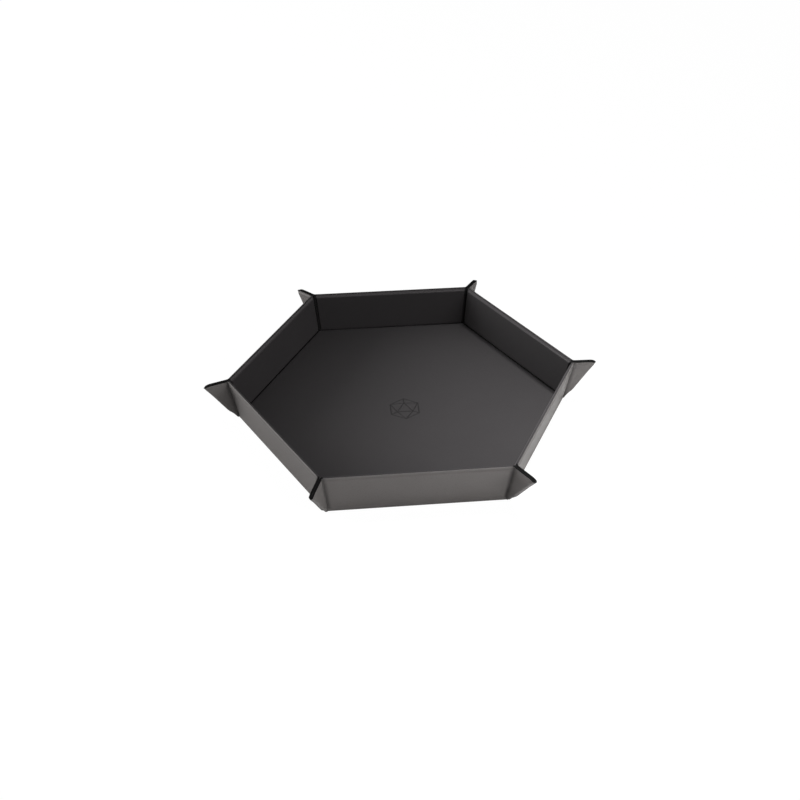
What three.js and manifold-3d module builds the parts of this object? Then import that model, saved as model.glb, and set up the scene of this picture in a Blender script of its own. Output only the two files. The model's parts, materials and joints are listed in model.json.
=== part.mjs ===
// A fold-flat hexagonal dice tray, standing open.
//
// One hexagonal floor carries six walls on fold lines. Every wall carries a gusset half at each end.
// The two gusset halves that meet at a corner stand back to back as one triangular ear, and a pair
// of hidden magnets holds them together. Laid flat, the walls and gusset halves complete one larger
// regular hexagon. Each panel is a sandwich: an outer cover, a stiff board and an inner lining.
//
// Millimetres, +Z up. The origin is the centre of the floor's underside.

import * as THREE from 'three';
import { mergeVertices } from 'three/addons/utils/BufferGeometryUtils.js';
import Module from 'manifold-3d';

const wasm = await Module();
wasm.setup();

// ---------------------------------------------------------------- driving dimensions

const SIDES = 6;
const CREASE_APOTHEM = 101.5; // centre of the floor to each floor fold line
const WALL_HEIGHT = 32.1; // floor fold line to rim, measured along the wall
const FLARE = THREE.MathUtils.degToRad(8.4); // how far the standing walls lean out from upright
const FOLD_LEVEL = 0.5; // height of every fold line above the outer face of the cover

const PANEL_COVER = 0.6; // layers of the floor and the walls
const PANEL_BOARD = 1.5;
const PANEL_LINING = 0.5;
const PANEL_GAP = 0.1; // glue line between two layers

const GUSSET_SKIN = 0.45; // layers of the thinner gusset halves
const GUSSET_BOARD = 0.9;
const GUSSET_GAP = 0.05;

const FLOOR_FOLD_MARGIN = 2.2; // panel edge to floor fold line, so that the panels clear when raised
const EAR_FOLD_MARGIN = 0.5; // panel edge to the fold line between a wall and its gusset half
const EAR_FACE_CLEARANCE = 0.1; // lining of a gusset half to the plane between the two halves
const DIAGONAL_MARGIN = 1.6; // gusset edge to the ear's outer fold
const GUSSET_START = 2.4; // where a gusset half starts, along the ear's outer fold
const GUSSET_BOARD_START = 7; // where the stiff part of the ear starts

// An ear never stands quite true. How far each one leans, in degrees counter-clockwise seen from
// above, for the corners at 0, 60, 120, 180, 240 and 300 degrees.
const EAR_LEANS = [5, -3, 12, 13, 8, 7];

const BONDED_RIM = 2.2; // cover and lining bonded together along the rim, with no board
const BONDED_EDGE = 1.0; // the same along the fold lines
const BOARD_PLAY = 0.15; // edge of a board to the pocket around it

const MAGNET_RADIUS = 3;
const MAGNET_THICKNESS = 0.8;
const MAGNET_PLAY = 0.2;
const MAGNET_FROM_RIM = 6.4; // magnet centre below the rim
const MAGNET_FROM_FOLD = 5.4; // magnet centre out from the wall's end fold

const PANEL_CORNER_RADIUS = 0.8; // floor and walls
const GUSSET_CORNER_RADIUS = 0.1; // gusset skin, at its narrow lower end and beside the wall
const POCKET_CORNER_RADIUS = 0.3; // board pocket of a gusset half, and the board in it
const EAR_TIP_RADIUS = 9; // corner of the flat tray, centred on the ear's outer fold
const CORNER_SEGMENTS = 4;
const MAGNET_SEGMENTS = 24;

// ---------------------------------------------------------------- derived values

const HALF_SECTOR = Math.PI / SIDES;
const FOLD_ANGLE = Math.PI / 2 - FLARE;
const PANEL_THICKNESS = PANEL_COVER + PANEL_BOARD + PANEL_LINING + 2 * PANEL_GAP;
const GUSSET_THICKNESS = 2 * GUSSET_SKIN + GUSSET_BOARD + 2 * GUSSET_GAP;

// The walls widen towards the rim by this angle at each end, so that two raised neighbours meet
// along the plane that halves their corner.
const END_SLANT = Math.atan(Math.tan(HALF_SECTOR) * Math.sin(FLARE));

// How far a gusset half turns out of its wall's plane to lie in that corner plane, without lean.
const EAR_ANGLE = Math.acos(Math.sin(HALF_SECTOR) * Math.cos(FLARE));

// The fold at a wall's end sits back from the corner plane by the thickness of a gusset half.
const EAR_SETBACK =
  (GUSSET_THICKNESS - FOLD_LEVEL + EAR_FACE_CLEARANCE) / Math.cos(HALF_SECTOR);
const HALF_CREASE = CREASE_APOTHEM * Math.tan(HALF_SECTOR);
const HALF_WALL = HALF_CREASE - EAR_SETBACK;

// ---------------------------------------------------------------- materials

const coverMaterial = new THREE.MeshStandardMaterial({ color: 0x66625f, roughness: 0.62 });
const liningMaterial = new THREE.MeshStandardMaterial({ color: 0x2e2d2e, roughness: 0.85 });
const boardMaterial = new THREE.MeshStandardMaterial({ color: 0x8c8578, roughness: 0.9 });
const magnetMaterial = new THREE.MeshStandardMaterial({
  color: 0xb5b6b8,
  roughness: 0.3,
  metalness: 1,
});

// ---------------------------------------------------------------- outlines

const ORIGIN = new THREE.Vector2();

// Where the line through a1 and a2 meets the line through b1 and b2.
function meet(a1, a2, b1, b2) {
  const a = a2.clone().sub(a1);
  const b = b2.clone().sub(b1);
  const along = b1.clone().sub(a1).cross(b) / a.cross(b);
  return a1.clone().addScaledVector(a, along);
}

// A counter-clockwise outline with each edge moved inward by its own margin. Margin i belongs to
// the edge that runs from corner i to corner i + 1.
function inset(corners, margins) {
  const edges = corners.map((start, i) => {
    const end = corners[(i + 1) % corners.length];
    const along = end.clone().sub(start).normalize();
    const inward = new THREE.Vector2(-along.y, along.x).multiplyScalar(margins[i]);
    return [start.clone().add(inward), end.clone().add(inward)];
  });
  return edges.map((edge, i) => {
    const previous = edges[(i + edges.length - 1) % edges.length];
    return meet(previous[0], previous[1], edge[0], edge[1]);
  });
}

// A mirrored outline, still counter-clockwise.
function mirror(corners) {
  return corners.map((corner) => new THREE.Vector2(-corner.x, corner.y)).reverse();
}

// A closed shape through the corners, each rounded over a length of its two edges.
function roundedShape(corners, radius) {
  const shape = new THREE.Shape();
  corners.forEach((corner, i) => {
    const before = corners[(i + corners.length - 1) % corners.length];
    const after = corners[(i + 1) % corners.length];
    const arrive = corner.clone().add(before.clone().sub(corner).setLength(radius));
    const leave = corner.clone().add(after.clone().sub(corner).setLength(radius));
    if (i === 0) shape.moveTo(arrive.x, arrive.y);
    else shape.lineTo(arrive.x, arrive.y);
    shape.quadraticCurveTo(corner.x, corner.y, leave.x, leave.y);
  });
  shape.closePath();
  return shape;
}

// ---------------------------------------------------------------- solids

// A flat plate between two levels above the outer face of the cover. Fold lines are at height zero.
function plate(shape, low, high) {
  const geometry = new THREE.ExtrudeGeometry(shape, {
    depth: high - low,
    bevelEnabled: false,
    curveSegments: CORNER_SEGMENTS,
  });
  return geometry.translate(0, 0, low - FOLD_LEVEL);
}

function toSolid(geometry) {
  const bare = geometry.clone();
  bare.deleteAttribute('normal');
  bare.deleteAttribute('uv');
  const merged = mergeVertices(bare, 1e-4);
  return new wasm.Manifold(
    new wasm.Mesh({
      numProp: 3,
      vertProperties: new Float32Array(merged.attributes.position.array),
      triVerts: new Uint32Array(merged.index.array),
    }),
  );
}

function toGeometry(solid) {
  const mesh = solid.getMesh();
  const geometry = new THREE.BufferGeometry();
  geometry.setAttribute('position', new THREE.BufferAttribute(mesh.vertProperties, 3));
  geometry.setIndex(new THREE.BufferAttribute(mesh.triVerts, 1));
  geometry.computeVertexNormals();
  return geometry;
}

function cut(geometry, tool) {
  return toGeometry(toSolid(geometry).subtract(toSolid(tool)));
}

function piece(name, geometry, material) {
  const mesh = new THREE.Mesh(geometry, material);
  mesh.name = name;
  return mesh;
}

// ---------------------------------------------------------------- floor and wall panels

// Cover, board and lining of one panel. The lining has a bonded edge that closes down around the
// board, so the board sits in a pocket between it and the cover.
function panelPieces(name, corners, bondedEdges) {
  const boardEdges = bondedEdges.map((edge) => edge + BOARD_PLAY);
  const outline = roundedShape(corners, PANEL_CORNER_RADIUS);
  const pocket = roundedShape(inset(corners, bondedEdges), PANEL_CORNER_RADIUS);
  const boardOutline = roundedShape(inset(corners, boardEdges), PANEL_CORNER_RADIUS);

  const boardLow = PANEL_COVER + PANEL_GAP;
  const boardHigh = boardLow + PANEL_BOARD;
  const liningFace = boardHigh + PANEL_GAP;
  const lining = cut(
    plate(outline, boardLow, PANEL_THICKNESS),
    plate(pocket, boardLow - 1, liningFace),
  );

  return [
    piece(`${name}_cover`, plate(outline, 0, PANEL_COVER), coverMaterial),
    piece(`${name}_board`, plate(boardOutline, boardLow, boardHigh), boardMaterial),
    piece(`${name}_lining`, lining, liningMaterial),
  ];
}

function floorCorners() {
  const radius = (CREASE_APOTHEM - FLOOR_FOLD_MARGIN) / Math.cos(HALF_SECTOR);
  return Array.from({ length: SIDES }, (_, i) => {
    const angle = 2 * i * HALF_SECTOR;
    return new THREE.Vector2(radius * Math.cos(angle), radius * Math.sin(angle));
  });
}

// Seen from inside the tray, with the floor fold along the bottom edge.
function wallCorners() {
  const halfRim = HALF_WALL + WALL_HEIGHT * Math.tan(END_SLANT);
  const toFolds = [
    new THREE.Vector2(-HALF_WALL, 0),
    new THREE.Vector2(HALF_WALL, 0),
    new THREE.Vector2(halfRim, WALL_HEIGHT),
    new THREE.Vector2(-halfRim, WALL_HEIGHT),
  ];
  return inset(toFolds, [FLOOR_FOLD_MARGIN, EAR_FOLD_MARGIN, 0, EAR_FOLD_MARGIN]);
}

// ---------------------------------------------------------------- gusset halves

// A left gusset half is drawn with its Y axis up the fold that joins it to the wall, and it reaches
// out towards -X. The ear's outer fold starts at the floor corner and leans out by this angle.
const OUTER_FOLD_LEAN = HALF_SECTOR - END_SLANT;

function alongOuterFold(distance) {
  const floorCorner = new THREE.Vector2(-EAR_SETBACK, 0).rotateAround(ORIGIN, -END_SLANT);
  const up = new THREE.Vector2(0, distance).rotateAround(ORIGIN, OUTER_FOLD_LEAN);
  return floorCorner.add(up);
}

// The corners of a left gusset half above a start on the outer fold, with a sharp tip.
function gussetCorners(startAlongFold) {
  const start = alongOuterFold(startAlongFold);
  const tip = alongOuterFold(WALL_HEIGHT / Math.cos(HALF_SECTOR));
  const foldTop = new THREE.Vector2(0, WALL_HEIGHT / Math.cos(END_SLANT));
  const foldStart = new THREE.Vector2(0, start.y);
  return inset([foldStart, foldTop, tip, start], [EAR_FOLD_MARGIN, 0, DIAGONAL_MARGIN, 0]);
}

// The rim of an ear turns down at its tip along an arc centred on the outer fold.
function earTipArc() {
  const centre = alongOuterFold((WALL_HEIGHT - EAR_TIP_RADIUS) / Math.cos(HALF_SECTOR));
  const end = Math.asin(DIAGONAL_MARGIN / EAR_TIP_RADIUS);
  return Array.from({ length: CORNER_SEGMENTS + 1 }, (_, i) => {
    const fromFold = THREE.MathUtils.lerp(HALF_SECTOR, end, i / CORNER_SEGMENTS);
    const spoke = new THREE.Vector2(0, EAR_TIP_RADIUS);
    return centre.clone().add(spoke.rotateAround(ORIGIN, OUTER_FOLD_LEAN - fromFold));
  });
}

function gussetOutline() {
  const [foldStart, foldTop, , start] = gussetCorners(GUSSET_START);
  return [foldStart, foldTop, ...earTipArc(), start];
}

// The pocket for the board runs out through the fold side of the skin, where the board went in.
function gussetPocket(play) {
  const open = BOARD_PLAY - play;
  return inset(gussetCorners(GUSSET_BOARD_START), [
    -open,
    BONDED_RIM + play,
    BONDED_EDGE + play,
    play,
  ]);
}

function gussetPieces(name, isRight) {
  const onItsSide = (corners) => (isRight ? mirror(corners) : corners);
  const outline = roundedShape(onItsSide(gussetOutline()), GUSSET_CORNER_RADIUS);
  const pocket = roundedShape(onItsSide(gussetPocket(0)), POCKET_CORNER_RADIUS);
  const boardOutline = roundedShape(onItsSide(gussetPocket(BOARD_PLAY)), POCKET_CORNER_RADIUS);

  const boardLow = GUSSET_SKIN + GUSSET_GAP;
  const boardHigh = boardLow + GUSSET_BOARD;
  const skin = cut(
    plate(outline, 0, GUSSET_THICKNESS),
    plate(pocket, GUSSET_SKIN, GUSSET_THICKNESS - GUSSET_SKIN),
  );
  const seat = magnetDisc(isRight, MAGNET_RADIUS + MAGNET_PLAY, 2 * GUSSET_THICKNESS);
  const board = cut(plate(boardOutline, boardLow, boardHigh), seat);
  const magnet = magnetDisc(isRight, MAGNET_RADIUS, MAGNET_THICKNESS);

  return [
    piece(`${name}_skin`, skin, coverMaterial),
    piece(`${name}_board`, board, boardMaterial),
    piece(`${name}_magnet`, magnet, magnetMaterial),
  ];
}

// A disc on the magnet's axis, centred in the thickness of the gusset half.
function magnetDisc(isRight, radius, thickness) {
  const disc = new THREE.CylinderGeometry(radius, radius, thickness, MAGNET_SEGMENTS);
  disc.rotateX(Math.PI / 2);
  const x = (isRight ? 1 : -1) * MAGNET_FROM_FOLD;
  const y = WALL_HEIGHT - MAGNET_FROM_RIM;
  return disc.translate(x, y, GUSSET_THICKNESS / 2 - FOLD_LEVEL);
}

// A gusset half on its fold line, turned out of the wall's plane. Both halves of an ear lean alike,
// so they stay back to back.
function gusset(name, isRight, corner) {
  const side = isRight ? 1 : -1;
  const lean = THREE.MathUtils.degToRad(EAR_LEANS[corner % SIDES]);
  const fold = new THREE.Group();
  fold.position.set(side * HALF_WALL, 0, 0);
  fold.rotation.z = -side * END_SLANT;
  const turned = new THREE.Group();
  turned.rotation.y = side * EAR_ANGLE + lean;
  turned.add(...gussetPieces(name, isRight));
  fold.add(turned);
  return fold;
}

// ---------------------------------------------------------------- assembly

// A wall with its two gusset halves, raised on the floor fold that faces outward along +Y, then
// turned to its own side of the hexagon.
function wall(number) {
  const raised = new THREE.Group();
  raised.position.set(0, CREASE_APOTHEM, FOLD_LEVEL);
  raised.rotation.x = FOLD_ANGLE;
  const bondedEdges = [BONDED_EDGE, BONDED_EDGE, BONDED_RIM, BONDED_EDGE];
  raised.add(...panelPieces(`wall_${number}`, wallCorners(), bondedEdges));
  raised.add(gusset(`wall_${number}_left_gusset`, false, number + SIDES - 2));
  raised.add(gusset(`wall_${number}_right_gusset`, true, number + SIDES - 3));

  const side = new THREE.Group();
  side.rotation.z = Math.PI + 2 * HALF_SECTOR * (number - 1);
  side.add(raised);
  return side;
}

function floor() {
  const group = new THREE.Group();
  group.position.z = FOLD_LEVEL;
  const bondedEdges = Array(SIDES).fill(BONDED_EDGE);
  group.add(...panelPieces('floor', floorCorners(), bondedEdges));
  return group;
}

const tray = new THREE.Group();
tray.add(floor());
for (let number = 1; number <= SIDES; number += 1) tray.add(wall(number));

export default tray;
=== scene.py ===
"""The looks of a fold-flat hexagonal dice tray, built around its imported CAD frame.

The tray is one hexagonal sandwich of outer cover, stiff boards and inner lining. Here its cover and
lining are modelled as sheets: flat over the boards, pressed thin along the rim, and creased where the
tray folds. Each panel sheet rides on its own body, and each crease bends between the two bodies
it joins. All lengths are in metres. A level is a height above the outer face of the cover, and
every panel is drawn in its own frame, with x along its fold line, y away from it and z towards the
lining.
"""

import json
import math

import bpy
import numpy as np
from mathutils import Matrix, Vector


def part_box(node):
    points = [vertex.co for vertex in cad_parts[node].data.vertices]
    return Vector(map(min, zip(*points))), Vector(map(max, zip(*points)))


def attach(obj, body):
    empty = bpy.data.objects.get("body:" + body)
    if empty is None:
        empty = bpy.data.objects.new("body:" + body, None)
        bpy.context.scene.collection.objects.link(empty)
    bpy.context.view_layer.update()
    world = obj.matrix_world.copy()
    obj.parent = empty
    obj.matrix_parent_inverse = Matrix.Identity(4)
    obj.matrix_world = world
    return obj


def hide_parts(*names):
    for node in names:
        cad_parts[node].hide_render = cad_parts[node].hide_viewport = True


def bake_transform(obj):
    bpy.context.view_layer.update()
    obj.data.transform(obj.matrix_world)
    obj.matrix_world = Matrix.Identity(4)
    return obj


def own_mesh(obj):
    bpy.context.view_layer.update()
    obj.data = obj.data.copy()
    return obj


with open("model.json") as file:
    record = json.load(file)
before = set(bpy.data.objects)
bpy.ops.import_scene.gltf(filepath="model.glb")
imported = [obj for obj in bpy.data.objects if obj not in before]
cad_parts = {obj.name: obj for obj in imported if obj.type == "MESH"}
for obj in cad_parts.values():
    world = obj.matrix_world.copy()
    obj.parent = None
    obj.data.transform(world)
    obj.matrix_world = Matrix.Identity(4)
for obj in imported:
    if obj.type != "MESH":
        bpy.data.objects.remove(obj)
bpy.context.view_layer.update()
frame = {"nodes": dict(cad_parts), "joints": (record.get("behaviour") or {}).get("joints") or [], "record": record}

MM = 0.001
SIDES = 6
HALF_SECTOR = math.pi / SIDES

# ---------------------------------------------------------------- dimensions from the frame

JOINTS = {joint["name"]: joint for joint in frame["joints"]}
FIRST_FOLD = JOINTS["wall_1_fold"]
FIRST_EAR_FOLD = JOINTS["wall_1_left_gusset_fold"]
COUPLINGS = {link["joint"]: link["ratio"] for link in frame["record"]["behaviour"]["couplings"]}

FOLD_LEVEL = FIRST_FOLD["pos_m"][2]
CREASE_APOTHEM = math.hypot(*FIRST_FOLD["pos_m"][:2])
FOLD_ANGLE = math.radians(FIRST_FOLD["range_deg"][1])
FLARE = math.pi / 2 - FOLD_ANGLE
END_SLANT = math.atan(math.tan(HALF_SECTOR) * math.sin(FLARE))
HALF_CREASE = CREASE_APOTHEM * math.tan(HALF_SECTOR)
HALF_WALL = math.dist(FIRST_FOLD["pos_m"], FIRST_EAR_FOLD["pos_m"])
EAR_SETBACK = HALF_CREASE - HALF_WALL
CORNER_RADIUS = CREASE_APOTHEM / math.cos(HALF_SECTOR)

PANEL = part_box("floor_lining")[1].z  # thickness of the floor and the walls
RIM_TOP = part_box("wall_1_lining")[1].z
WALL_HEIGHT = (
    RIM_TOP - FOLD_LEVEL - (PANEL - FOLD_LEVEL) * math.cos(FOLD_ANGLE)
) / math.sin(FOLD_ANGLE)
FLOOR_MARGIN = CREASE_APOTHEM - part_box("floor_cover")[1].y  # panel edge to floor fold line
EAR_PLANE = EAR_SETBACK * math.cos(HALF_SECTOR) + FOLD_LEVEL  # level where two gusset halves meet

# ---------------------------------------------------------------- dimensions of the sheets

EAR_MARGIN = 0.5 * MM  # panel edge to the fold line between a wall and its gusset half
COVER = 0.6 * MM  # inner face of the cover over a board
LINING = 0.5 * MM  # lining thickness over a board
GUSSET_COVER = 0.45 * MM
GUSSET_CLEARANCE = 0.1 * MM  # lining of a gusset half to the plane between the two halves
GUSSET = EAR_PLANE - GUSSET_CLEARANCE
GLUE = 0.02 * MM  # cover to lining where they are bonded

BONDED_RIM = 2.2 * MM  # how wide cover and lining are bonded together, with no board between
BONDED_EDGE = 1.0 * MM
BOARD_STEP = 0.1 * MM  # over this width the lining steps up onto a board
RIM_PRESS_COVER = 0.5 * MM  # how deep each face is pressed in along the rim
RIM_PRESS_LINING = 0.75 * MM
RIM_COVER = 0.95 * MM  # level between cover and lining at the rim
THINNEST_LINING = 0.1 * MM  # least thickness of the lining where it is pressed
THINNEST_GUSSET_LINING = 0.05 * MM
FLOOR_CREASE_PRESS = 0.15 * MM  # how deep the cover is pressed in at each fold line
FLOOR_FOLD_FULLNESS = 0.2  # how far the floor folds stand out of a round bend
EAR_CREASE_PRESS = 0.3 * MM
CREASE_COVER_TOP = 0.02 * MM  # faces of the two webs in a floor crease, above the fold line
CREASE_LINING_BASE = 0.03 * MM
CREASE_LINING = 0.5 * MM
LINING_ROUND = 0.8 * MM  # rounding of the lining over a board's edge
EDGE_ROUND = 0.35 * MM
GUSSET_EDGE_ROUND = 0.2 * MM

FOLD_NOSE = 1.6 * MM  # how far the ear's outer fold stands out from its boards
NARROW_NOSE = 0.85  # at the narrow lower end it takes this share of the gusset's width instead
NOSE_EDGE = 0.002 * MM  # thickness of the sheet at the very edge of the outer fold
NOSE_LAP = 0.03 * MM  # how far the left half's outer fold laps over the right half's when laid flat
FOLD_KNEE = 9.0 * MM  # where the outer fold turns in below the boards
KNEE_START = 0.45  # the knee starts at this share of that distance
FOLD_BULGE = 0.8 * MM  # how far it stands proud of a straight fold at the knee
EAR_BOARD_BASE = 6.5 * MM
EAR_BASE_PRESS = 0.35 * MM  # how deep each face of an ear is pressed in below its boards
TIP_ROUND = 9.0 * MM  # corner radius of the flat tray's outline

# A zone along an edge is full up to the first of its two distances, and has faded out at the second.
WALL_RIM_ZONE = (1.0 * MM, 2.4 * MM)  # cover pressed in along the rim of a wall
LINING_RIM_ZONE = (1.6 * MM, 2.6 * MM)
RIM_BOND_ZONE = (1.4 * MM, 2.1 * MM)  # cover lifted to meet the lining at the rim
GUSSET_RIM_ZONE = (0.8 * MM, 2.2 * MM)
GUSSET_BOND_ZONE = (1.0 * MM, 2.1 * MM)
FLOOR_EDGE_ZONE = (0, 2.0 * MM)  # cover pressed in beside a floor fold
WALL_FOOT_ZONE = (0, 0.9 * MM)
WALL_END_ZONE = (0, 2.2 * MM)  # cover pressed in beside an ear fold
GUSSET_END_ZONE = (EAR_MARGIN, 2.6 * MM)
COVER_BASE_ZONE = (EAR_BOARD_BASE - 1.2 * MM, EAR_BOARD_BASE + 0.8 * MM)
LINING_BASE_ZONE = (EAR_BOARD_BASE - 1.2 * MM, EAR_BOARD_BASE)
WALL_SHADE_ZONE = (-0.5 * MM, 2.2 * MM)  # cover darkened with painted shade beside an ear fold
GUSSET_SHADE_ZONE = (-0.5 * MM, 2.8 * MM)
# lining darkened with painted shade beside an ear fold
LINING_SHADE_ZONE = (0.2 * MM, 0.9 * MM)
RIM_WEAR_ZONE = (0.3 * MM, 1.6 * MM)
WEB_THIN_ZONE = (0.8 * MM, 2.2 * MM)  # web of an ear fold thinned towards the rim
HIGHLIGHT_START = (0.3 * MM, 0.6 * MM)  # painted highlight: the lining is lightened on the pressed rim, over a band
HIGHLIGHT_END = (1.2 * MM, 3.0 * MM)
SEAM_START = (0.04 * MM, 0.10 * MM)  # dark seam between cover and lining, just below the rim
SEAM_END = (0.28 * MM, 0.40 * MM)

# How strongly a sheet shows its wear, painted highlight and painted shade, from 0 to 1.
RIM_WEAR = 0.15
NOSE_WEAR = 0.5
RIM_HIGHLIGHT = 0.9
LINING_CREASE_SHADE = 0.7
WEB_SHADE = 0.9

EMBLEM_CENTRE = np.array([0.7, -6.0]) * MM
EMBLEM_RADIUS = 11.5 * MM
EMBLEM_LINE = 0.38 * MM  # half the width of an emblem line
EMBLEM_DEPTH = 0.3 * MM
EMBLEM_FACE = 0.56  # size of the die's front face, as a share of its outline


# ---------------------------------------------------------------- small maths


def ease(value, start, end):
    """0 before start, 1 after end, and a smooth step between them."""
    t = np.clip((np.asarray(value, float) - start) / (end - start), 0, 1)
    return t * t * (3 - 2 * t)


def fade(value, start, end):
    """1 before start, 0 after end, and a smooth step between them."""
    return 1 - ease(value, start, end)


def round_over(distance, radius):
    """How far a surface has dropped at a distance from an edge that is rounded with a radius."""
    inside = np.clip(radius - np.asarray(distance, float), 0, radius)
    return radius - np.sqrt(radius**2 - inside**2)


def unit(vector):
    return np.asarray(vector, float) / np.linalg.norm(vector)


def spaced(near_start, near_end, length, count):
    """Stations along a length: fixed distances from each end, and even steps between them."""
    start = np.array(near_start) * MM
    end = length - np.array(near_end)[::-1] * MM
    middle = np.linspace(start[-1], end[0], count + 1)[1:-1]
    return np.concatenate([start, middle, end])


class Place:
    """A local frame: an origin, and the directions of its x, y and z axes as rows."""

    def __init__(self, origin, x, y):
        self.origin = np.asarray(origin, float)
        self.x = unit(x)
        self.y = unit(y)
        self.z = np.cross(self.x, self.y)

    def points(self, x, y, z):
        x, y, z = np.broadcast_arrays(x, y, z)
        return self.origin + x[..., None] * self.x + y[..., None] * self.y + z[..., None] * self.z


UP = np.array([0.0, 0.0, 1.0])


def wall_place(number):
    """The frame of a raised wall: x along its floor fold, y up the wall, z into the tray."""
    joint = JOINTS[f"wall_{number}_fold"]
    along = -unit(joint["axis"])
    outward = np.cross(UP, along)
    up_wall = outward * math.cos(FOLD_ANGLE) + UP * math.sin(FOLD_ANGLE)
    return Place(joint["pos_m"], along, up_wall)


SIDE_NAMES = {-1: "left", 1: "right"}


def gusset_name(number, side):
    return f"wall_{number}_{SIDE_NAMES[side]}_gusset"


def ear_angle(number, side):
    """How far a gusset half is turned out of its wall's plane while the tray stands."""
    return FOLD_ANGLE * COUPLINGS[f"{gusset_name(number, side)}_fold"]


def gusset_place(number, side):
    """The frame of a gusset half: y up the fold at the wall's end, x towards the wall if side is -1."""
    joint = JOINTS[f"{gusset_name(number, side)}_fold"]
    wall = wall_place(number)
    fold = -side * unit(joint["axis"])
    across = np.cross(fold, wall.z)
    angle = ear_angle(number, side)
    turned = across * math.cos(angle) - side * wall.z * math.sin(angle)
    return Place(joint["pos_m"], turned, fold)


# ---------------------------------------------------------------- meshes


SHARP_ANGLE = math.radians(40)


def make_object(name, vertices, faces, materials, face_slots=None):
    """A mesh object with outward faces, shaded smooth except over sharp corners."""
    vertices = np.asarray(vertices, float).reshape(-1, 3)
    triangles = np.array([[f[0], f[i], f[i + 1]] for f in faces for i in range(1, len(f) - 1)])
    a, b, c = (vertices[triangles[:, i]] for i in range(3))
    volume = np.einsum("ij,ij->i", a, np.cross(b, c)).sum()
    if volume < 0:
        faces = [face[::-1] for face in faces]
    mesh = bpy.data.meshes.new(name)
    mesh.from_pydata(vertices.tolist(), [], [list(map(int, face)) for face in faces])
    for material in materials:
        mesh.materials.append(material)
    if face_slots is not None:
        mesh.polygons.foreach_set("material_index", face_slots)
    mesh.polygons.foreach_set("use_smooth", [True] * len(faces))
    mesh.update()
    mesh.set_sharp_from_angle(angle=SHARP_ANGLE)
    obj = bpy.data.objects.new(name, mesh)
    bpy.context.scene.collection.objects.link(obj)
    return obj


def slab(name, upper, lower, materials, rim=None, painted=0, lined_columns=0):
    """A closed sheet between two grids of points of the same size.

    The border takes the first material, except along the rim, where it and the outermost painted
    strips of both faces take the second. The rim is the grids' last row or last column. The upper
    face takes the third material over the first lined columns.
    """
    rows, columns = upper.shape[:2]
    index = np.arange(rows * columns).reshape(rows, columns)
    under = rows * columns
    on_rim = {"last_row": index[-1], "last_column": index[:, -1]}.get(rim, [])
    faces = []
    slots = []
    for i in range(rows - 1):
        for j in range(columns - 1):
            quad = [index[i, j], index[i, j + 1], index[i + 1, j + 1], index[i + 1, j]]
            faces.append(quad)
            faces.append([k + under for k in quad[::-1]])
            from_rim = {"last_row": rows - 2 - i, "last_column": columns - 2 - j}.get(rim, painted)
            if from_rim < painted:
                slots += [1, 1]
            elif j < lined_columns:
                slots += [2, 0]
            else:
                slots += [0, 0]
    border = np.concatenate([index[0], index[1:, -1], index[-1, -2::-1], index[-2:0:-1, 0]])
    for start, end in zip(border, np.roll(border, -1)):
        faces.append([end, start, start + under, end + under])
        slots.append(int(start in on_rim and end in on_rim))
    vertices = np.concatenate([upper.reshape(-1, 3), lower.reshape(-1, 3)])
    return make_object(name, vertices, faces, materials, slots)


def loft(name, rings, materials):
    """A closed form through rings of points, whose first and last rings shrink to a point."""
    count = rings[0].shape[0]
    vertices = np.concatenate([*rings, rings[0].mean(0)[None], rings[-1].mean(0)[None]])
    first_tip = len(rings) * count
    last_ring = first_tip - count
    faces = []
    for j in range(count):
        k = (j + 1) % count
        faces.append([first_tip, k, j])
        faces.append([first_tip + 1, last_ring + j, last_ring + k])
        for i in range(0, last_ring, count):
            faces.append([i + j, i + k, i + count + k, i + count + j])
    return make_object(name, vertices, faces, materials)


def store(obj, attribute, values):
    """Keeps one number per vertex for the obj's material to read."""
    layer = obj.data.attributes.new(attribute, "FLOAT", "POINT")
    layer.data.foreach_set("value", np.asarray(values, np.float32).ravel())


def store_both(sheet, attribute, values):
    """Keeps the same numbers for the upper and the lower grid of a slab."""
    store(sheet, attribute, np.concatenate([values.ravel(), values.ravel()]))


# ---------------------------------------------------------------- materials


class Shader:
    """Builds one node material around a Principled BSDF."""

    def __init__(self, name):
        self.material = bpy.data.materials.new(name)
        self.material.use_nodes = True
        self.tree = self.material.node_tree
        self.surface = self.tree.nodes["Principled BSDF"]
        self.position = self.add("ShaderNodeTexCoord").outputs["Object"]

    def add(self, kind, inputs=None, **settings):
        node = self.tree.nodes.new(kind)
        for key, value in settings.items():
            setattr(node, key, value)
        for key, value in (inputs or {}).items():
            self.feed(node.inputs[key], value)
        return node

    def feed(self, socket, value):
        if isinstance(value, bpy.types.NodeSocket):
            self.tree.links.new(value, socket)
        else:
            socket.default_value = value

    def noise(self, size, detail=2.0, roughness=0.5):
        """Soft noise whose features are about size across."""
        inputs = {"Vector": self.position, "Scale": 1 / size, "Detail": detail, "Roughness": roughness}
        return self.add("ShaderNodeTexNoise", inputs).outputs["Fac"]

    def remap(self, value, low, high, to_low, to_high):
        inputs = {0: value, 1: low, 2: high, 3: to_low, 4: to_high}
        return self.add("ShaderNodeMapRange", inputs).outputs[0]

    def math(self, operation, a, b):
        return self.add("ShaderNodeMath", {0: a, 1: b}, operation=operation).outputs[0]

    def mix(self, factor, a, b):
        node = self.add("ShaderNodeMix", data_type="RGBA")
        self.feed(node.inputs["Factor"], factor)
        for socket, value in ((node.inputs[6], a), (node.inputs[7], b)):
            self.feed(socket, value if isinstance(value, bpy.types.NodeSocket) else (*value, 1))
        return node.outputs[2]

    def attribute(self, name):
        return self.add("ShaderNodeAttribute", attribute_name=name).outputs["Fac"]

    def bump(self, height, distance, strength=1.0, before=None):
        inputs = {"Height": height, "Distance": distance, "Strength": strength}
        if before is not None:
            inputs["Normal"] = before
        return self.add("ShaderNodeBump", inputs).outputs["Normal"]

    def finish(self, **inputs):
        for key, value in inputs.items():
            self.feed(self.surface.inputs[key.replace("_", " ")], value)
        return self.material


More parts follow.
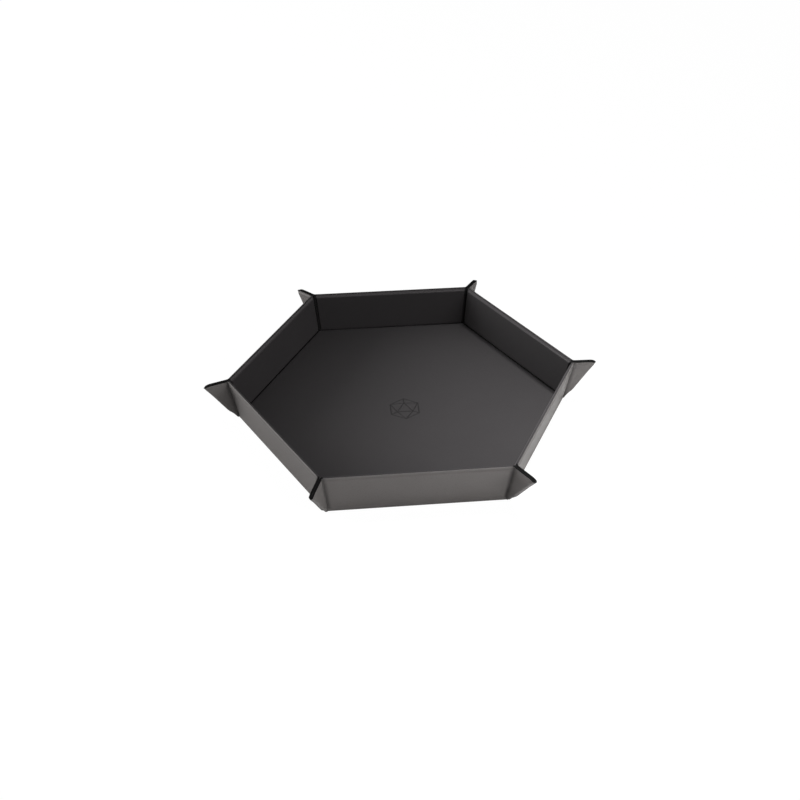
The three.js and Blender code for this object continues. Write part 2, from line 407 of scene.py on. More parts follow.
def cover_material():
    """Synthetic leather: a fine pebble grain under a satin coat, worn lighter along its folds, and darkened beside
    the ear folds with painted shade.
    """
    s = Shader("cover_leather")
    pebbles = s.remap(s.noise(0.55 * MM, 2.0, 0.45), 0.30, 0.62, 0.0, 1.0)
    pores = s.noise(0.16 * MM, 3.0)
    blotches = s.noise(26 * MM, 3.0)
    tone = s.mix(blotches, (0.152, 0.141, 0.136), (0.176, 0.164, 0.159))
    grained = s.mix(s.remap(pebbles, 0.0, 0.6, 0.30, 0.0), tone, (0.097, 0.089, 0.086))
    worn = s.mix(s.math("MULTIPLY", s.attribute("wear"), 0.45), grained, (0.27, 0.255, 0.248))
    # Painted shade: the crease attribute darkens the cover beside the ear folds, where shade falls in the crease.
    shaded = s.mix(s.math("MULTIPLY", s.attribute("crease"), 0.65), worn, (0.032, 0.030, 0.029))
    rough = s.remap(s.math("ADD", pores, blotches), 0.6, 1.4, 0.48, 0.60)
    normal = s.bump(pebbles, 0.035 * MM, 0.4)
    normal = s.bump(pores, 0.02 * MM, 0.25, normal)
    normal = s.bump(s.noise(9 * MM, 2.0), 0.10 * MM, 0.4, normal)
    return s.finish(Base_Color=shaded, Roughness=rough, Normal=normal, Specular_IOR_Level=0.45)


def lining_material():
    """Microfibre: a very short nap that lies in soft patches, matt with a pale sheen. Its colour also carries a
    painted highlight along the rims and painted shade in the ear creases.
    """
    s = Shader("lining_microfibre")
    nap = s.noise(0.16 * MM, 4.0, 0.65)
    brushed = s.noise(18 * MM, 3.0, 0.5)
    flecks = s.remap(nap, 0.35, 0.65, 0.0, 1.0)
    dark = s.mix(brushed, (0.0275, 0.0248, 0.0260), (0.0315, 0.0284, 0.0297))
    tone = s.mix(s.math("MULTIPLY", flecks, 0.5), dark, (0.0500, 0.0455, 0.0474))
    # Painted highlight: a pale band along the pressed rim of each wall.
    painted_rim_highlight = s.mix(s.attribute("painted_rim_highlight"), tone, (0.115, 0.106, 0.110))
    # The pressed colour darkens the emblem's lines and the seam below the rim, and is painted shade in the ear
    # creases.
    pressed = s.mix(s.attribute("pressed"), painted_rim_highlight, (0.0115, 0.0104, 0.0109))
    normal = s.bump(nap, 0.06 * MM, 0.45)
    normal = s.bump(brushed, 0.05 * MM, 0.25, normal)
    rough = s.remap(brushed, 0.3, 0.7, 0.66, 0.72)
    return s.finish(
        Base_Color=pressed, Roughness=rough, Normal=normal, Specular_IOR_Level=0.30,
        Sheen_Weight=0.12, Sheen_Roughness=0.45,
    )


def edge_material():
    """Black edge paint along the cut rim, brushed on and slightly uneven."""
    s = Shader("painted_edge")
    strokes = s.noise(0.5 * MM, 3.0)
    tone = s.mix(strokes, (0.0015, 0.0015, 0.0015), (0.0040, 0.0038, 0.0038))
    normal = s.bump(strokes, 0.05 * MM, 0.4)
    rough = s.remap(strokes, 0.3, 0.7, 0.55, 0.75)
    return s.finish(Base_Color=tone, Roughness=rough, Normal=normal, Specular_IOR_Level=0.12)


def board_material():
    """Pressed grey fibreboard with flecks of pulp."""
    s = Shader("grey_fibreboard")
    fibres = s.noise(0.4 * MM, 4.0, 0.7)
    tone = s.mix(fibres, (0.16, 0.145, 0.12), (0.42, 0.39, 0.34))
    return s.finish(Base_Color=tone, Roughness=0.9, Normal=s.bump(fibres, 0.08 * MM, 0.5))


def magnet_material():
    """Nickel plate with faint tumbling marks."""
    s = Shader("nickel_plate")
    marks = s.noise(0.3 * MM, 3.0)
    rough = s.remap(marks, 0.3, 0.7, 0.18, 0.34)
    return s.finish(
        Base_Color=(0.62, 0.60, 0.56, 1), Metallic=1.0, Roughness=rough,
        Normal=s.bump(marks, 0.01 * MM, 0.3),
    )


COVER_LEATHER = cover_material()
LINING_FABRIC = lining_material()
EDGE_PAINT = edge_material()


# ---------------------------------------------------------------- floor sheets

EMBLEM_AROUND = 72  # mesh columns in each sixth of the floor
EMBLEM_STEP = 0.2 * MM
EMBLEM_BORDER = 2 * MM  # fine rings go on this far past the emblem
COARSE_RINGS = 23  # from there to this far from the edge
COARSE_END = 3 * MM
LINING_EDGE = [2.0, 1.4, 0.8, 0.65, 0.5, 0.35, 0.2, 0.08, 0.0]  # rings near the edge, in mm from it
COVER_EDGE = [0, 0.15, 0.4, 0.8, 1.2, 1.6, 2.0, 3.0, 10.0, 40.0, 80.0, 97.0]
LINING_FOOT = 0.2 * MM  # how far the lining's side goes below the web at the floor fold
BACK_STEP = 0.05 * MM  # width of the step up onto the board, on the back
BACK_MIDDLE = 1 * MM  # size of the innermost ring of the back


def hexagon_ring(apothem, level, centre=(0, 0)):
    """Points around a hexagon whose corners lie at 0, 60 ... degrees from its centre."""
    columns = np.arange(SIDES * EMBLEM_AROUND)
    angle = 2 * math.pi * columns / len(columns)
    off_middle = (angle % (2 * HALF_SECTOR)) - HALF_SECTOR
    radius = apothem / np.cos(off_middle)
    x = centre[0] + radius * np.cos(angle)
    y = centre[1] + radius * np.sin(angle)
    return np.stack([x, y, np.full_like(angle, level)], 1)


def emblem_lines():
    """The edges of a twenty-sided die seen face-on, as pairs of points."""

    def point(radius, degrees):
        turn = math.radians(degrees)
        return EMBLEM_RADIUS * radius * np.array([math.cos(turn), math.sin(turn)])

    outer = [point(1.0, 90 + 60 * k) for k in range(6)]
    face = [point(EMBLEM_FACE, 90 + 120 * k) for k in range(3)]
    lines = [(outer[k], outer[(k + 1) % 6]) for k in range(6)]
    lines += [(face[k], face[(k + 1) % 3]) for k in range(3)]
    for k in range(3):
        lines += [(face[k], outer[(2 * k + step) % 6]) for step in (-1, 0, 1)]
    return lines


def emblem_press(points):
    """How deep the emblem is pressed at each point, from 0 to 1."""
    nearest = np.full(len(points), np.inf)
    for start, end in emblem_lines():
        along = end - start
        from_start = points[:, :2] - EMBLEM_CENTRE - start
        t = np.clip(from_start @ along / (along @ along), 0, 1)
        gap = np.linalg.norm(from_start - t[:, None] * along, axis=1)
        nearest = np.minimum(nearest, gap)
    return fade(nearest, 0.35 * EMBLEM_LINE, 1.35 * EMBLEM_LINE)


def floor_lining():
    """Starts with fine rings around the emblem, and turns over the board's edge to its back."""
    apothem = CREASE_APOTHEM - FLOOR_MARGIN
    fine = np.arange(EMBLEM_STEP, EMBLEM_RADIUS + EMBLEM_BORDER, EMBLEM_STEP)
    coarse = np.linspace(fine[-1], apothem - COARSE_END, COARSE_RINGS + 1)[1:]
    rim = apothem - np.array(LINING_EDGE) * MM
    rings = []
    for a in (*fine, *coarse, *rim):
        centre = EMBLEM_CENTRE * fade(a, fine[-1], rim[0])
        rings.append(hexagon_ring(a, PANEL - round_over(apothem - a, LINING_ROUND), centre))
    rings.append(hexagon_ring(apothem, FOLD_LEVEL + CREASE_LINING - LINING_FOOT))
    rings.append(hexagon_ring(apothem - BONDED_EDGE, COVER + GLUE))
    rings.append(hexagon_ring(apothem - BONDED_EDGE - BACK_STEP, PANEL - LINING))
    rings.append(hexagon_ring(BACK_MIDDLE, PANEL - LINING))
    pressed = np.zeros((len(rings), SIDES * EMBLEM_AROUND))
    for i in range(len(fine)):
        pressed[i] = emblem_press(rings[i])
        rings[i][:, 2] -= EMBLEM_DEPTH * pressed[i]
    sheet = loft("floor_lining_sheet", rings, [LINING_FABRIC])
    middle = emblem_press(rings[0].mean(0)[None])[0]
    store(sheet, "pressed", np.concatenate([pressed.ravel(), [middle, 0]]))
    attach(sheet, "floor")
    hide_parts("floor_lining")


def floor_cover():
    """Flat on the table, and pressed in a little along the floor folds."""
    apothem = CREASE_APOTHEM - FLOOR_MARGIN
    inward = np.array(COVER_EDGE) * MM
    press = FLOOR_CREASE_PRESS * fade(inward, *FLOOR_EDGE_ZONE)
    rings = [hexagon_ring(apothem - d, p) for d, p in zip(inward[::-1], press[::-1])]
    rings.append(hexagon_ring(apothem, COVER))
    rings.append(hexagon_ring(apothem - inward[-1], COVER))
    sheet = loft("floor_cover_sheet", rings, [COVER_LEATHER])
    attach(sheet, "floor")
    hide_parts("floor_cover")


# ---------------------------------------------------------------- wall sheets

NEAR_EDGE = [0, 0.05, 0.12, 0.22, 0.35, 0.5, 0.65, 0.8, 1.0, 1.2, 1.6, 2.1, 3.0]  # stations, in mm
NEAR_RIM = [0, 0.04, 0.1, 0.18, 0.28, 0.4, 0.6, 0.9, 1.2, 1.5, 1.8, 2.2, 2.25, 2.6, 3.0, 3.6]
WALL_ROWS = 10  # stations between those near the edges
WALL_COLUMNS = 26
END_BLEND = (3 * MM, 12 * MM)  # stations nearer an end keep their distance to it on every row


def wall_grid():
    """Stations on a wall panel: x, y, and the distances to its rim, its fold edge and its ends."""
    low = FLOOR_MARGIN
    y = low + spaced(NEAR_EDGE, NEAR_RIM, WALL_HEIGHT - low, WALL_ROWS)
    half = HALF_WALL + y * math.tan(END_SLANT) - EAR_MARGIN / math.cos(END_SLANT)
    across = spaced(NEAR_EDGE, NEAR_EDGE, 2 * half[0], WALL_COLUMNS)
    inset = np.minimum(across, 2 * half[0] - across)
    share = (across - half[0]) / half[0]
    fixed = np.sign(share) * (half[:, None] - inset)
    blend = ease(inset, *END_BLEND)
    x = fixed * (1 - blend) + share * half[:, None] * blend
    to_end = (half[:, None] - np.abs(x)) * math.cos(END_SLANT)
    y = np.repeat(y[:, None], len(across), 1)
    return x, y, WALL_HEIGHT - y, y - low, to_end


def wall_bond(to_rim):
    """Inner face of a wall's cover: it lifts off the board's level to meet the lining at the rim."""
    return COVER + (RIM_COVER - COVER) * fade(to_rim, *RIM_BOND_ZONE)


def wall_cover(number):
    """Smooth over the board, and pressed in along the rim and beside every fold."""
    x, y, to_rim, to_fold, to_end = wall_grid()
    pressed = np.maximum.reduce([
        RIM_PRESS_COVER * fade(to_rim, *WALL_RIM_ZONE),
        FLOOR_CREASE_PRESS * fade(to_fold, *WALL_FOOT_ZONE),
        EAR_CREASE_PRESS * fade(to_end, *WALL_END_ZONE),
    ])
    outer = pressed + round_over(to_rim, EDGE_ROUND)
    inner = wall_bond(to_rim)
    place = wall_place(number)
    upper = place.points(x, y, inner - FOLD_LEVEL)
    lower = place.points(x, y, outer - FOLD_LEVEL)
    materials = [COVER_LEATHER, LINING_FABRIC]
    sheet = slab(f"wall_{number}_cover_sheet", upper, lower, materials, "last_row")
    store_both(sheet, "wear", RIM_WEAR * fade(to_rim, *RIM_WEAR_ZONE))
    # Painted shade on the cover beside the ear folds.
    store_both(sheet, "crease", fade(to_end, *WALL_SHADE_ZONE))
    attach(sheet, f"wall_{number}")
    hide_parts(f"wall_{number}_cover")


def wall_lining(number):
    """Raised over the board, and down on the cover along the rim, with a thin seam between them. A painted
    highlight runs along the rim, and painted shade darkens the ends beside the ear folds.
    """
    x, y, to_rim, to_fold, to_end = wall_grid()
    dropped = np.maximum(
        RIM_PRESS_LINING * fade(to_rim, *LINING_RIM_ZONE),
        (PANEL - GUSSET) * fade(to_end, 0, LINING_ROUND),
    )
    face = PANEL - dropped - round_over(to_fold, LINING_ROUND) - round_over(to_rim, EDGE_ROUND)
    bonded = np.minimum.reduce([to_rim - BONDED_RIM, to_fold - BONDED_EDGE, to_end - BONDED_EDGE])
    glued = wall_bond(to_rim) + GLUE
    over_board = ease(bonded, -BOARD_STEP, GLUE)
    back = glued + (PANEL - LINING - glued) * over_board
    place = wall_place(number)
    upper = place.points(x, y, face - FOLD_LEVEL)
    lower = place.points(x, y, np.minimum(back, face - THINNEST_LINING) - FOLD_LEVEL)
    sheet = slab(f"wall_{number}_lining_sheet", upper, lower, [LINING_FABRIC])
    in_seam = ease(to_rim, *SEAM_START) * fade(to_rim, *SEAM_END)
    # Painted shade: the lining's ends are darkened beside the ear folds.
    crease_shade = LINING_CREASE_SHADE * fade(to_end, *LINING_SHADE_ZONE)
    store_both(sheet, "pressed", np.maximum(in_seam, crease_shade))
    # Painted highlight along the rim.
    on_rim = ease(to_rim, *HIGHLIGHT_START) * fade(to_rim, *HIGHLIGHT_END)
    store_both(sheet, "painted_rim_highlight", RIM_HIGHLIGHT * on_rim)
    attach(sheet, f"wall_{number}")
    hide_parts(f"wall_{number}_lining")


# ---------------------------------------------------------------- gusset sheets

NOSE_COLUMNS = [0, 0.025, 0.075, 0.16, 0.26, 0.39, 0.53, 0.69, 0.84, 1.0, 1.008]  # over the fold
GUSSET_COLUMNS = 18  # from there to the wall
COLUMN_CROWDING = 1.35  # above 1, they stand closer together near the wall
GUSSET_ROWS = 16  # from the floor corner to the rows of the rim
GRID_PASSES = 12  # rows and columns depend on each other, and settle within this many passes
PAINTED_STRIPS = 5  # grid strips along the rim that carry edge paint


def fold_nose(p):
    """How far the outer fold stands out, at a distance from the floor corner, where it narrows."""
    return np.minimum(FOLD_NOSE, NARROW_NOSE * gusset_reach(p))


def gusset_reach(p):
    """From the outer fold to the gusset's edge beside the wall, at a distance from the corner."""
    lean = HALF_SECTOR - END_SLANT
    return (EAR_SETBACK * math.cos(END_SLANT) + p * math.sin(lean) - EAR_MARGIN) / math.cos(lean)


def fold_bulge(p, d):
    """How far a point near the outer fold is pushed out by the fold's knee."""
    rise = np.clip((p - KNEE_START * FOLD_KNEE) / ((1 - KNEE_START) * FOLD_KNEE), 0, 1)
    fall = np.clip(1 - (p - FOLD_KNEE) / (2 * FOLD_KNEE), 0, 1)
    return FOLD_BULGE * np.minimum(rise, fall) * fade(d, FOLD_NOSE, 4 * FOLD_NOSE)


def gusset_top(d):
    """Where the rim crosses each column of the gusset. It turns over at the tip as an arc."""
    straight = (WALL_HEIGHT - d * math.sin(HALF_SECTOR)) / math.cos(HALF_SECTOR)
    centre = (WALL_HEIGHT - TIP_ROUND) / math.cos(HALF_SECTOR)
    arc = centre + np.sqrt(np.clip(TIP_ROUND**2 - d**2, 0, None))
    return np.where(d < TIP_ROUND * math.sin(HALF_SECTOR), arc, straight)


def gusset_grid():
    """Stations on a left gusset half. Rows run along the outer fold and columns in from it.

    Returns local x and y, the distances to the rim and to the wall, how far each point has turned
    over the outer fold from 0 to 1, and the distance from the floor corner.
    """
    lean = HALF_SECTOR - END_SLANT
    nose = np.array(NOSE_COLUMNS)
    inner = 1 - (1 - np.linspace(0, 1, GUSSET_COLUMNS + 1)[1:]) ** COLUMN_CROWDING
    rows = np.linspace(0, 1, GUSSET_ROWS + 1)[:-1]
    from_top = np.array(NEAR_RIM[::-1]) * MM / math.cos(HALF_SECTOR)
    p = np.zeros((len(rows) + len(from_top), len(nose) + len(inner)))
    for _ in range(GRID_PASSES):
        width = fold_nose(p)
        beyond = width[:, -1:] * nose[-1]
        d = np.concatenate([
            width[:, : len(nose)] * nose,
            beyond + inner * (gusset_reach(p[:, len(nose):]) - beyond),
        ], 1)
        end = gusset_top(d)
        p[: len(rows)] = rows[:, None] * (end[: len(rows)] - from_top[0])
        p[len(rows):] = end[len(rows):] - from_top[:, None]
    to_rim = (gusset_top(d) - p) * math.cos(HALF_SECTOR)
    turn = np.clip(1 - d / fold_nose(p), 0, 1)
    d = d - fold_bulge(p, d)
    x = -EAR_SETBACK * math.cos(END_SLANT) - p * math.sin(lean) + d * math.cos(lean)
    y = EAR_SETBACK * math.sin(END_SLANT) + p * math.cos(lean) + d * math.sin(lean)
    return x, y, to_rim, -x, turn, p


def gusset_cover_level(to_rim, to_wall, p):
    """Outer face of a gusset half, before it turns over the outer fold."""
    return np.maximum.reduce([
        RIM_PRESS_COVER * fade(to_rim, *GUSSET_RIM_ZONE),
        EAR_CREASE_PRESS * fade(to_wall, *GUSSET_END_ZONE),
        EAR_BASE_PRESS * fade(p, *COVER_BASE_ZONE),
    ])


def gusset_cover(number, side):
    """Wraps from the wall's end over the ear, and turns in over the outer fold."""
    x, y, to_rim, to_wall, turn, p = gusset_grid()
    level = gusset_cover_level(to_rim, to_wall, p)
    outer = level + (EAR_PLANE - level) * (1 - np.sqrt(1 - turn**2))
    outer += round_over(to_rim, EDGE_ROUND) * (1 - turn)
    in_nose = np.zeros_like(turn)
    nose_columns = len(NOSE_COLUMNS) - 1
    in_nose[:, :nose_columns] = 1
    flat_inner = GUSSET_COVER + (RIM_COVER - GUSSET_COVER) * fade(to_rim, *GUSSET_BOND_ZONE)
    fold_level = EAR_PLANE - (NOSE_LAP if side > 0 else 0)
    inner = flat_inner + (fold_level - flat_inner) * in_nose
    place = gusset_place(number, side)
    upper = place.points(-side * x, y, inner - FOLD_LEVEL)
    lower = place.points(-side * x, y, np.minimum(outer, inner - NOSE_EDGE) - FOLD_LEVEL)
    name = gusset_name(number, side)
    materials = [COVER_LEATHER, EDGE_PAINT, LINING_FABRIC]
    sheet = slab(
        f"{name}_cover_sheet", upper, lower, materials, "last_row", PAINTED_STRIPS, nose_columns,
    )
    store_both(sheet, "wear", NOSE_WEAR * ease(turn, 0.1, 0.8))
    # Painted shade on the cover beside the ear fold.
    store_both(sheet, "crease", fade(to_wall - EAR_MARGIN, *GUSSET_SHADE_ZONE))
    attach(sheet, name)
    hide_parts(f"{name}_skin")


def gusset_lining(number, side):
    """The ear's inner face, which meets its twin's inside the ear."""
    past_nose = slice(len(NOSE_COLUMNS) - 1, None)
    x, y, to_rim, to_wall, turn, p = (grid[:, past_nose] for grid in gusset_grid())
    face = GUSSET - EAR_BASE_PRESS * fade(p, *LINING_BASE_ZONE)
    face -= round_over(to_rim, GUSSET_EDGE_ROUND)
    rim_back = RIM_COVER + GLUE
    over_board = ease(to_rim, BONDED_RIM - BOARD_STEP, BONDED_RIM + GLUE)
    back = rim_back + (GUSSET - GUSSET_COVER - rim_back) * over_board
    place = gusset_place(number, side)
    upper = place.points(-side * x, y, face - FOLD_LEVEL)
    lower = place.points(-side * x, y, np.minimum(back, face - THINNEST_GUSSET_LINING) - FOLD_LEVEL)
    name = gusset_name(number, side)
    materials = [LINING_FABRIC, EDGE_PAINT]
    sheet = slab(f"{name}_lining_sheet", upper, lower, materials, "last_row", PAINTED_STRIPS)
    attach(sheet, name)


# ---------------------------------------------------------------- creases

BEND_STEPS = 9  # points around the outside of a bend
FLAT_STEPS = 6  # points on each flat stretch beside it
FLOOR_WEB_GRID = (41, 41)  # points across and along a floor crease
WEB_ACROSS = 21  # points across an ear crease
WEB_ALONG = 19  # stations along it, from the floor corner to those near the rim
WEB_NEAR_RIM = [2.2, 1.7, 1.2, 0.8, 0.35, 0.12, 0]  # stations near the rim, in mm from it
WEB_START = 0.1 * MM
WEB_PRESS = 0.1 * MM  # how far the rim of a web is pressed in below the rim of the cover
WEB_COVER = 0.45 * MM  # thickness of the cover's web
WEB_LINING_DROP = 0.15 * MM  # how much lower the face of the lining's web ends at the rim
ON_FLOOR_LEVEL = 0.6 * MM  # points of a floor crease below this level, beside the floor, lie on it
WALL_END_LAP = 0.2 * MM  # how far a floor crease reaches past the wall's end


def bent_section(angle, reach, low, high, fullness=0.0):
    """The cross-section of a crease that turns by an angle, at rest.

    Points are (across, height) pairs around the fold line: the first panel lies at positive across,
    and the second is turned about the fold line, towards negative height if the angle is positive.
    Fullness pushes the outside of the bend out of its arc by this share of the radius.
    """

    def turned(a, level):
        c = math.cos(angle)
        s = math.sin(angle)
        return (a * c - level * s, a * s + level * c)

    def outside(level):
        spots = np.linspace(reach, 0, FLAT_STEPS + 1)[:-1]
        turns = np.linspace(0, angle, BEND_STEPS)
        radii = level * (1 + fullness * np.sin(np.pi * turns / angle) ** 2)
        first = [(a, level) for a in spots]
        middle = [(-r * math.sin(t), r * math.cos(t)) for r, t in zip(radii, turns)]
        second = [turned(-a, level) for a in spots[::-1]]
        return np.array(first + middle + second)

    def inside(level):
        corner = -level * math.tan(angle / 2)
        spots = np.linspace(reach, corner, FLAT_STEPS + 1 + BEND_STEPS // 2)
        first = [(a, level) for a in spots]
        second = [turned(-a, level) for a in spots[::-1][1:]]
        return np.array(first + second)

    return tuple(outside(level) if level * angle > 0 else inside(level) for level in (low, high))


def resample(line, count):
    """The same polyline with evenly numbered points, so that two lines pair up."""
    steps = np.linalg.norm(np.diff(line, axis=0), axis=1)
    length = np.concatenate([[0], np.cumsum(steps)])
    at = np.linspace(0, length[-1], count)
    return np.stack([np.interp(at, length, line[:, i]) for i in range(2)], 1)


def floor_crease(number):
    """The web between the floor and a wall: cover outside, lining inside."""
    place = wall_place(number)
    outward = unit(place.y - place.y[2] * UP)
    layers = (
        ("cover", FLOOR_CREASE_PRESS - FOLD_LEVEL, CREASE_COVER_TOP, [COVER_LEATHER]),
        ("lining", CREASE_LINING_BASE, CREASE_LINING, [LINING_FABRIC]),
    )
    for layer, bottom, top, materials in layers:
        section = bent_section(-FOLD_ANGLE, FLOOR_MARGIN, bottom, top, FLOOR_FOLD_FULLNESS)
        lower, upper = (crease_points(place, outward, line) for line in section)
        sheet = slab(f"wall_{number}_floor_crease_{layer}", upper, lower, materials)
        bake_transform(sheet)


def crease_points(place, outward, line):
    """Points of a floor crease: its half length narrows to the floor's corner and the wall's end."""
    points_across, points_along = FLOOR_WEB_GRID
    stations = np.linspace(-1, 1, points_along)
    rows = []
    for across, height in resample(line, points_across):
        on_floor = across >= 0 and abs(height) < ON_FLOOR_LEVEL
        if on_floor:
            half = HALF_CREASE - across * math.tan(HALF_SECTOR)
        else:
            up_wall = min(math.hypot(across, height) / FLOOR_MARGIN, 1)
            half = HALF_CREASE - up_wall * (HALF_CREASE - HALF_WALL - WALL_END_LAP)
        spot = place.origin - outward * across + UP * height
        rows.append(spot + (stations * half)[:, None] * place.x)
    return np.array(rows)


def ear_web(gusset, inward, up, full, rim):
    """A face of an ear crease: its section follows the fold, and changes to another at the rim."""
    from_rim = np.array(WEB_NEAR_RIM) * MM
    at_rim = np.append(np.zeros(WEB_ALONG), fade(from_rim, *WEB_THIN_ZONE))[:, None]
    rows = []
    for spot, rim_spot in zip(resample(full, WEB_ACROSS), resample(rim, WEB_ACROSS)):
        flat_across = spot[0] if spot[0] > 0 else -np.linalg.norm(spot)
        flat_across = np.clip(flat_across, -EAR_MARGIN, EAR_MARGIN)
        end = (WALL_HEIGHT - flat_across * math.sin(END_SLANT)) / math.cos(END_SLANT)
        below = np.linspace(WEB_START, end - from_rim[0], WEB_ALONG + 1)[:-1]
        along = np.append(below, end - from_rim)[:, None]
        spots = spot * (1 - at_rim) + rim_spot * at_rim
        rows.append(gusset.origin + inward * spots[:, :1] + up * spots[:, 1:] + along * gusset.y)
    return np.array(rows)


def ear_crease(number, side):
    """The web between a wall and its gusset half, from the floor corner to the rim."""
    up = wall_place(number).z
    gusset = gusset_place(number, side)
    inward = -side * np.cross(gusset.y, up)
    gusset_body = gusset_name(number, side)
    angle = ear_angle(number, side)
    # The levels of each face, along the fold and at the rim.
    outer = (EAR_CREASE_PRESS, RIM_PRESS_COVER + WEB_PRESS)
    middle = (EAR_CREASE_PRESS + WEB_COVER, RIM_COVER)
    glued = [level + GLUE for level in middle]
    inner = (GUSSET, GUSSET - WEB_LINING_DROP)
    layers = (
        ("cover", outer, middle, [COVER_LEATHER, EDGE_PAINT], "crease"),
        ("lining", glued, inner, [LINING_FABRIC, EDGE_PAINT], "pressed"),
    )
    for layer, bottom, top, materials, shade_attribute in layers:
        full, rim = (
            bent_section(angle, EAR_MARGIN, low - FOLD_LEVEL, high - FOLD_LEVEL)
            for low, high in zip(bottom, top)
        )
        lower, upper = (ear_web(gusset, inward, up, *lines) for lines in zip(full, rim))
        sheet = slab(f"{gusset_body}_crease_{layer}", upper, lower, materials, "last_column", 1)
        # Each web is darkened all over with painted shade in the crease: the cover through its crease attribute,
        # the lining through its pressed colour.
        store_both(sheet, shade_attribute, np.full(upper.shape[:2], WEB_SHADE))
        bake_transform(sheet)


CORNER_FOLD_INSET = 0.9 * MM  # centre of a corner fold, in from the corner of the fold lines
CORNER_FOLD_RADIUS = 1.3 * MM
CORNER_FOLD_HEIGHT = 1.3 * MM
CORNER_FOLD_BASE = 0.12 * MM
CORNER_FOLD_DEPTH = 0.95  # how deep it is, as a share of its width
CORNER_FOLD_FULLNESS = 0.75  # below 1, its sides stand fuller than a ball's
CORNER_FOLD_TIP = 0.04  # angle from its tips to the rings beside them, in radians
CORNER_FOLD_AROUND = 32
CORNER_FOLD_RINGS = 15
CORNER_LINING_START = 0.1 * MM  # faces further in than this show the lining


def corner_fold(number):
    """The gathered web at a floor corner, where a floor crease, two ear creases and the ear meet."""
    angle = 2 * HALF_SECTOR * (number - 1)
    outward = np.array([math.cos(angle), math.sin(angle), 0])
    sideways = np.cross(UP, outward)
    centre = outward * (CORNER_RADIUS - CORNER_FOLD_INSET)
    around = np.linspace(0, 2 * math.pi, CORNER_FOLD_AROUND + 1)[:-1]
    circle = (
        np.cos(around)[:, None] * outward * CORNER_FOLD_DEPTH
        + np.sin(around)[:, None] * sideways
    )
    rings = []
    for t in np.linspace(CORNER_FOLD_TIP, math.pi - CORNER_FOLD_TIP, CORNER_FOLD_RINGS):
        lift = CORNER_FOLD_BASE + CORNER_FOLD_HEIGHT * (1 - math.cos(t)) / 2
        radius = CORNER_FOLD_RADIUS * math.sin(t) ** CORNER_FOLD_FULLNESS
        rings.append(centre + UP * lift + radius * circle)
    nub = loft(f"corner_{number}_fold", rings, [COVER_LEATHER, LINING_FABRIC])
    centres = np.array([polygon.center for polygon in nub.data.polygons])
    inner = (centres - centre) @ outward < CORNER_LINING_START
    nub.data.polygons.foreach_set("material_index", inner.astype(int))
    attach(nub, "floor")
    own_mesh(nub)


# ---------------------------------------------------------------- hidden parts


def dress_hidden_parts():
    """Boards and magnets keep their CAD shapes and get their own finishes."""
    board = board_material()
    magnet = magnet_material()
    for name, node in frame["nodes"].items():
        finish = {"board": board, "magnet": magnet}.get(name.rsplit("_", 1)[1])
        if finish is not None:
            node.data.materials.clear()
            node.data.materials.append(finish)


# ---------------------------------------------------------------- stage

CAMERA_AZIMUTH = math.radians(-5.28)
CAMERA_ELEVATION = math.radians(38.65)
CAMERA_DISTANCE = 0.700
CAMERA_LENS = 43.66
SENSOR_WIDTH = 36
CAMERA_SHIFT = (-0.0036, 0.0082)


def add_camera():
    data = bpy.data.cameras.new("camera")
    data.lens = CAMERA_LENS
    data.sensor_width = SENSOR_WIDTH
    data.shift_x, data.shift_y = CAMERA_SHIFT
    camera = bpy.data.objects.new("camera", data)
    bpy.context.scene.collection.objects.link(camera)
    level = math.cos(CAMERA_ELEVATION) * CAMERA_DISTANCE
    camera.location = (
        level * math.sin(CAMERA_AZIMUTH),
        -level * math.cos(CAMERA_AZIMUTH),
        CAMERA_DISTANCE * math.sin(CAMERA_ELEVATION),
    )
    camera.rotation_euler = (math.pi / 2 - CAMERA_ELEVATION, 0, CAMERA_AZIMUTH)
    bpy.context.scene.camera = camera


def place_light(name, kind, azimuth, elevation, distance, target, power):
    """A light in a direction from the tray, turned to face a spot on the floor."""
    data = bpy.data.lights.new(name, kind)
    data.energy = power
    light = bpy.data.objects.new(name, data)
    bpy.context.scene.collection.objects.link(light)
    azimuth = math.radians(azimuth)
    elevation = math.radians(elevation)
    level = distance * math.cos(elevation)
    light.location = (
        target[0] + level * math.sin(azimuth),
        target[1] - level * math.cos(azimuth),
        distance * math.sin(elevation),
    )
    light.rotation_euler = (math.pi / 2 - elevation, 0, azimuth)
    return data


def add_softbox(name, azimuth, elevation, distance, size, power):
    """A soft square light that faces the middle of the tray."""
    data = place_light(name, "AREA", azimuth, elevation, distance, (0, 0), power)
    data.shape = "SQUARE"
    data.size = size


def add_pool(name, azimuth, elevation, distance, target, reach, softness, power):
    """A lamp whose pool of light fades out at a reach around its target."""
    data = place_light(name, "SPOT", azimuth, elevation, distance, target, power)
    data.spot_size = 2 * math.atan(reach / distance)
    data.spot_blend = 1.0
    data.shadow_soft_size = softness


AMBIENT = 0.13
PAPER_HALF_SIDE = 4.0
PAPER_DROP = 0.05 * MM  # keeps the paper clear of the tray's underside
PAPER_COLOUR = (0.85, 0.85, 0.85, 1)
PAPER_GLOW = 1.06
PAPER_GLOW_SHARE = 0.92  # the rest of what the camera sees there is the paper itself, with shadows
SOFTBOXES = (
    # name, azimuth, elevation, distance, size, power
    ("left_back", -110, 12, 1.5, 0.9, 20.5),
    ("front_right", 30, 12, 1.5, 0.9, 2.0),
    ("right", 45, 25, 1.5, 0.5, 5.6),
    ("right_high", 45, 55, 1.5, 0.9, 1.5),
)
POOLS = (
    # name, azimuth, elevation, distance, target, reach, softness, power
    ("overhead", 150, 72, 1.2, (0.11, -0.07), 0.19, 0.12, 82),
)


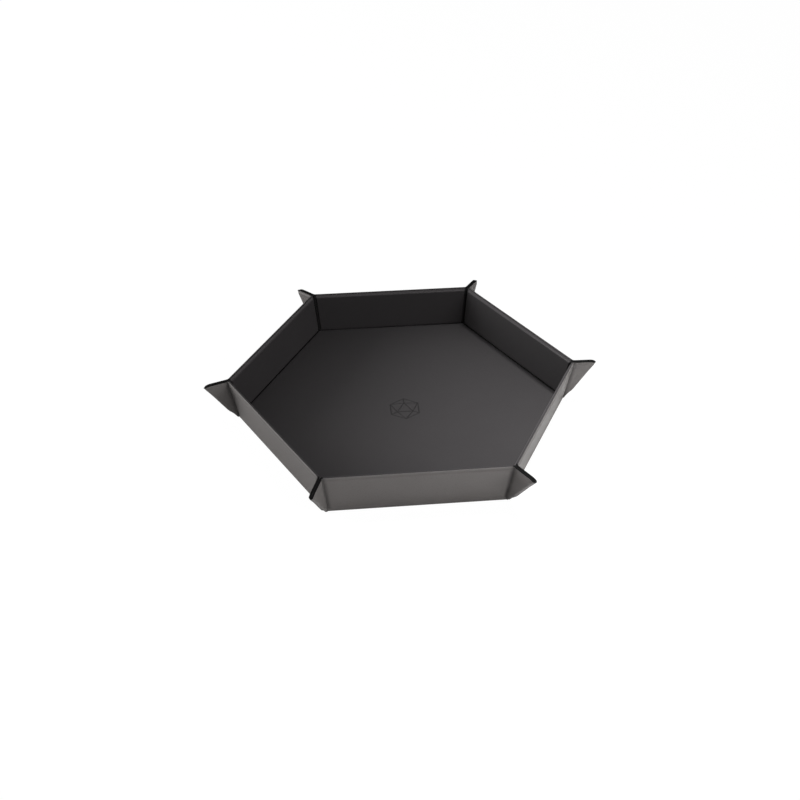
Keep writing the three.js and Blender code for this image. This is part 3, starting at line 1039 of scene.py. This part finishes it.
def seen_by_camera(tree):
    """1 for what the camera sees directly, 0 for light that only reaches the tray."""
    return tree.nodes.new("ShaderNodeLightPath").outputs["Is Camera Ray"]


def add_backdrop():
    """A pale paper floor that fades into a white world, with only a faint shadow under the tray."""
    mesh = bpy.data.meshes.new("stage_floor")
    far = PAPER_HALF_SIDE
    corners = [(-far, -far, 0), (far, -far, 0), (far, far, 0), (-far, far, 0)]
    mesh.from_pydata(corners, [], [(0, 1, 2, 3)])
    stage = bpy.data.objects.new("stage_floor", mesh)
    bpy.context.scene.collection.objects.link(stage)
    stage.location.z = -PAPER_DROP
    s = Shader("stage_paper")
    mesh.materials.append(s.finish(Base_Color=PAPER_COLOUR, Roughness=0.9))
    glow = s.add("ShaderNodeEmission", {"Color": (1, 1, 1, 1), "Strength": PAPER_GLOW})
    share = s.math("MULTIPLY", seen_by_camera(s.tree), PAPER_GLOW_SHARE)
    mixed = s.add("ShaderNodeMixShader", {0: share, 1: s.surface.outputs[0], 2: glow.outputs[0]})
    s.feed(s.tree.nodes["Material Output"].inputs["Surface"], mixed.outputs[0])


def add_world():
    world = bpy.data.worlds.new("studio")
    world.use_nodes = True
    tree = world.node_tree
    strength = tree.nodes.new("ShaderNodeMapRange")
    strength.inputs["To Min"].default_value = AMBIENT
    strength.inputs["To Max"].default_value = 1.0
    tree.links.new(seen_by_camera(tree), strength.inputs["Value"])
    background = tree.nodes["Background"]
    background.inputs["Color"].default_value = (1, 1, 1, 1)
    tree.links.new(strength.outputs[0], background.inputs["Strength"])
    bpy.context.scene.world = world
    bpy.context.scene.view_settings.view_transform = "Standard"


# ---------------------------------------------------------------- build

floor_cover()
floor_lining()
for wall_number in range(1, SIDES + 1):
    wall_cover(wall_number)
    wall_lining(wall_number)
    floor_crease(wall_number)
    corner_fold(wall_number)
    for wall_side in (-1, 1):
        gusset_cover(wall_number, wall_side)
        gusset_lining(wall_number, wall_side)
        ear_crease(wall_number, wall_side)
dress_hidden_parts()
add_backdrop()
add_world()
for softbox in SOFTBOXES:
    add_softbox(*softbox)
for pool in POOLS:
    add_pool(*pool)
add_camera()
